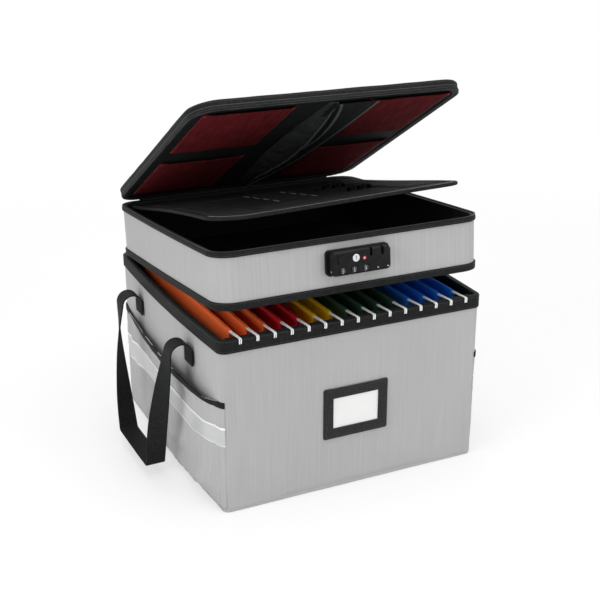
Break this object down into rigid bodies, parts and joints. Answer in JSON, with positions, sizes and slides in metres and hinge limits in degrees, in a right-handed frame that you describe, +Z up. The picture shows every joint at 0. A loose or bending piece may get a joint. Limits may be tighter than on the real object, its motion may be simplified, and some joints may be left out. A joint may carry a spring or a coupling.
{
  "type": "portable file box",
  "caption": "Fabric covered file box with hanging folders, a hinged lockable tray with an organizer flap, a padded lid with pockets, side pockets and webbing handles.",
  "frame": {"origin": "centre of the base, on the surface the box stands on", "axes": "+X to the right seen from the front, +Y to the back where the hinges are, +Z up"},
  "size_m": [0.514, 0.4356, 0.5534],
  "materials": {
    "grey_canvas": "woven pale grey canvas over board",
    "black_cloth": "woven black polyester",
    "black_lining": "smooth black lining cloth",
    "black_webbing": "ribbed black webbing",
    "maroon_cloth": "dark red pocket cloth",
    "reflective_tape": "silver grey reflective tape",
    "board": "black covered stiffening board",
    "foam_board": "board and padding inside the lid",
    "rail_metal": "extruded aluminium",
    "rivet_metal": "plain rivets",
    "rod_metal": "white coated steel strip",
    "card_orange": "coloured folder card",
    "card_red": "coloured folder card",
    "card_yellow": "coloured folder card",
    "card_green": "coloured folder card",
    "card_blue": "coloured folder card",
    "white_card": "plain white card",
    "holder_plastic": "moulded black plastic",
    "lock_plastic": "moulded black plastic",
    "dial_plastic": "black number wheels",
    "lock_metal": "plated metal",
    "plate_metal": "plain steel",
    "indicator_red": "red dot",
    "zipper_metal": "black coated zipper metal"
  },
  "bodies": {
    "box": {"base_board": "board", "box_back_panel": "grey_canvas", "box_floor_panel": "black_cloth", "box_front_panel": "grey_canvas", "box_left_panel": "grey_canvas", "box_lining": "black_lining", "box_right_panel": "grey_canvas", "folder_rods": "rod_metal", "folders_blue": "card_blue", "folders_green": "card_green", "folders_orange": "card_orange", "folders_red": "card_red", "folders_yellow": "card_yellow", "handle_anchors": "black_webbing", "hanging_rails": "rail_metal", "label_holder": "holder_plastic", "left_side_pocket": "grey_canvas", "pocket_bindings": "black_cloth", "rail_rivets": "rivet_metal", "reflective_strips": "reflective_tape", "right_side_pocket": "grey_canvas", "rim_band": "black_cloth", "tray_hinge_tape": "black_cloth"},
    "label_card": {"label_card": "white_card"},
    "left_handle": {"left_handle": "black_webbing"},
    "right_handle": {"right_handle": "black_webbing"},
    "number_dial_left": {"number_dial_left": "dial_plastic"},
    "number_dial_middle": {"number_dial_middle": "dial_plastic"},
    "number_dial_right": {"number_dial_right": "dial_plastic"},
    "key_cylinder": {"key_cylinder": "lock_metal"},
    "release_button": {"release_button": "lock_plastic"},
    "zipper_pull_left": {"zipper_pull_left": "zipper_metal"},
    "zipper_pull_right": {"zipper_pull_right": "zipper_metal"},
    "lid": {"lid_core": "foam_board", "lid_top_cover": "grey_canvas", "lid_lining": "black_lining", "lid_side_band": "black_cloth", "lid_pockets": "maroon_cloth", "lid_pouch": "black_lining"},
    "organizer": {"organizer_panel": "black_lining", "organizer_binding": "black_cloth", "card_slots": "black_lining", "organizer_pockets": "black_lining", "pen_loops": "black_cloth"},
    "tray": {"tray_front_wall": "grey_canvas", "tray_back_wall": "grey_canvas", "tray_left_wall": "grey_canvas", "tray_right_wall": "grey_canvas", "tray_floor_panel": "black_cloth", "tray_lining": "black_lining", "tray_bottom_band": "black_cloth", "tray_zipper_tape": "black_cloth", "lid_hinge_tape": "black_cloth", "lock_housing": "lock_plastic", "dial_axle": "lock_metal", "lock_indicator": "indicator_red", "lock_backplate": "plate_metal", "lock_rivets": "rivet_metal", "zipper_sliders": "zipper_metal", "organizer_hinge_strip": "black_cloth"}
  },
  "joints": [
    {"name": "tray_hinge", "type": "hinge", "parent": "box", "child": "tray", "pos_m": [0, 0.204, 0.254], "axis": [-1, 0, 0], "range_deg": [-5.2, 85]},
    {"name": "lid_hinge", "type": "hinge", "parent": "tray", "child": "lid", "pos_m": [0, 0.21107, 0.33168], "axis": [-1, 0, 0], "range_deg": [-24.8, 85]},
    {"name": "organizer_hinge", "type": "hinge", "parent": "tray", "child": "organizer", "pos_m": [0, 0.19749, 0.32589], "axis": [-1, 0, 0], "range_deg": [-13.9, 47.6]},
    {"name": "left_handle_swing", "type": "hinge", "parent": "box", "child": "left_handle", "pos_m": [-0.2174, 0, 0.2055], "axis": [0, 1, 0], "range_deg": [0, 165]},
    {"name": "right_handle_swing", "type": "hinge", "parent": "box", "child": "right_handle", "pos_m": [0.2174, 0, 0.2055], "axis": [0, -1, 0], "range_deg": [0, 165]},
    {"name": "label_card_slide", "type": "slide", "parent": "box", "child": "label_card", "axis": [0, 0, 1], "range_m": [0, 0.06]},
    {"name": "number_dial_left_turn", "type": "hinge", "parent": "tray", "child": "number_dial_left", "pos_m": [-0.0285, -0.20955, 0.32517], "axis": [1, 0, 0], "continuous": true},
    {"name": "number_dial_middle_turn", "type": "hinge", "parent": "tray", "child": "number_dial_middle", "pos_m": [-0.0115, -0.20955, 0.32517], "axis": [1, 0, 0], "continuous": true},
    {"name": "number_dial_right_turn", "type": "hinge", "parent": "tray", "child": "number_dial_right", "pos_m": [0.0055, -0.20955, 0.32517], "axis": [1, 0, 0], "continuous": true},
    {"name": "key_cylinder_turn", "type": "hinge", "parent": "tray", "child": "key_cylinder", "pos_m": [-0.009, -0.21182, 0.34104], "axis": [0, -0.9959, 0.0906], "range_deg": [-90, 0]},
    {"name": "release_button_press", "type": "slide", "parent": "tray", "child": "release_button", "axis": [0, 0.9959, -0.0906], "range_m": [0, 0.0012], "stiffness_N_per_m": 600},
    {"name": "zipper_pull_left_swing", "type": "hinge", "parent": "tray", "child": "zipper_pull_left", "pos_m": [-0.171, 0.21372, 0.31889], "axis": [1, 0, 0], "range_deg": [-8, 85]},
    {"name": "zipper_pull_right_swing", "type": "hinge", "parent": "tray", "child": "zipper_pull_right", "pos_m": [0.171, 0.21372, 0.31889], "axis": [1, 0, 0], "range_deg": [-8, 85]}
  ],
  "couplings": [
    {"joint": "organizer_hinge", "follows": "lid_hinge", "ratio": 0.56}
  ]
}
